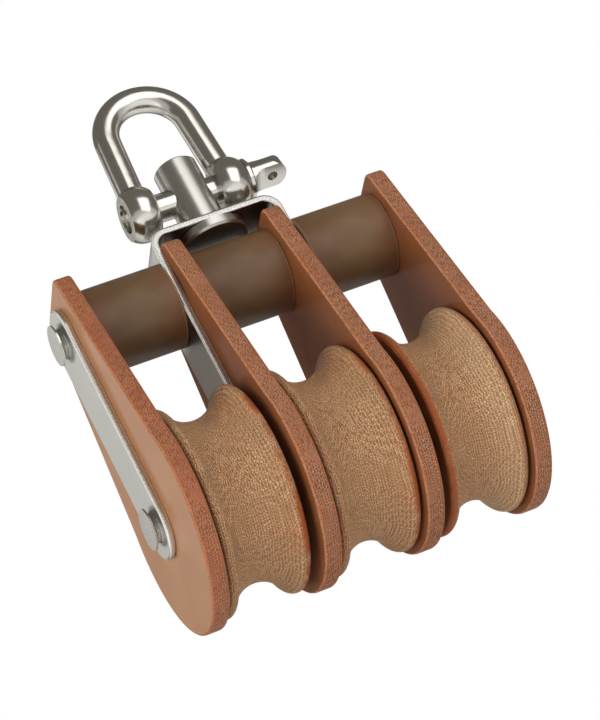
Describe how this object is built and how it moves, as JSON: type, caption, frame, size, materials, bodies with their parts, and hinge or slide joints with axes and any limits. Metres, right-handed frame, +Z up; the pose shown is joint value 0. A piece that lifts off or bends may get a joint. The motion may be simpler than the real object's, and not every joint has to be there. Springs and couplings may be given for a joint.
{
  "type": "triple swivel block",
  "caption": "Pulley block with side-by-side grooved sheaves in laminated cheeks, steel straps, a swivel post and a screw-pin D shackle.",
  "frame": {"origin": "the point inside the crown of the shackle's bow where the block hangs", "axes": "+Z up through the shackle, +X along the sheaves' axle towards the shackle pin's grip, -Y the front in the picture"},
  "size_m": [0.1052, 0.0606, 0.1582],
  "materials": {
    "polished_steel": "polished stainless steel",
    "strap_steel": "flat stainless steel strip with sheared, grainy edges",
    "pin_steel": "turned stainless steel",
    "bush_steel": "smooth steel tube",
    "cheek_laminate": "cloth laminate, smooth faces and speckled sawn edges",
    "sheave_laminate": "cloth laminate turned to a groove, with the weave showing",
    "spacer_laminate": "dark rolled laminate tube, satin"
  },
  "bodies": {
    "bow": {"shackle_bow": "polished_steel"},
    "pin": {"shackle_pin": "polished_steel"},
    "post": {"swivel_post": "polished_steel"},
    "block": {"swivel_strap": "strap_steel", "side_strap_left": "strap_steel", "side_strap_right": "strap_steel", "cheek_outer_left": "cheek_laminate", "cheek_inner_left": "cheek_laminate", "cheek_inner_right": "cheek_laminate", "cheek_outer_right": "cheek_laminate", "spacer_left": "spacer_laminate", "spacer_centre": "spacer_laminate", "spacer_right": "spacer_laminate", "sheave_bush_left": "bush_steel", "sheave_bush_centre": "bush_steel", "sheave_bush_right": "bush_steel", "upper_pin": "pin_steel", "axle_pin": "pin_steel"},
    "left_sheave": {"sheave_left": "sheave_laminate"},
    "centre_sheave": {"sheave_centre": "sheave_laminate"},
    "right_sheave": {"sheave_right": "sheave_laminate"}
  },
  "joints": [
    {"name": "pin_draw", "type": "slide", "parent": "bow", "child": "pin", "axis": [1, 0, 0], "range_m": [0, 0.04]},
    {"name": "shackle_pivot", "type": "hinge", "parent": "bow", "child": "post", "pos_m": [0, 0, -0.0315], "axis": [1, 0, 0], "range_deg": [-110, 110]},
    {"name": "swivel", "type": "hinge", "parent": "post", "child": "block", "pos_m": [0.0016, 0, -0.044], "axis": [0, 0, 1], "continuous": true},
    {"name": "left_sheave_spin", "type": "hinge", "parent": "block", "child": "left_sheave", "pos_m": [-0.0298, 0, -0.1203], "axis": [1, 0, 0], "continuous": true},
    {"name": "centre_sheave_spin", "type": "hinge", "parent": "block", "child": "centre_sheave", "pos_m": [0.0016, 0, -0.1203], "axis": [1, 0, 0], "continuous": true},
    {"name": "right_sheave_spin", "type": "hinge", "parent": "block", "child": "right_sheave", "pos_m": [0.033, 0, -0.1203], "axis": [1, 0, 0], "continuous": true}
  ]
}
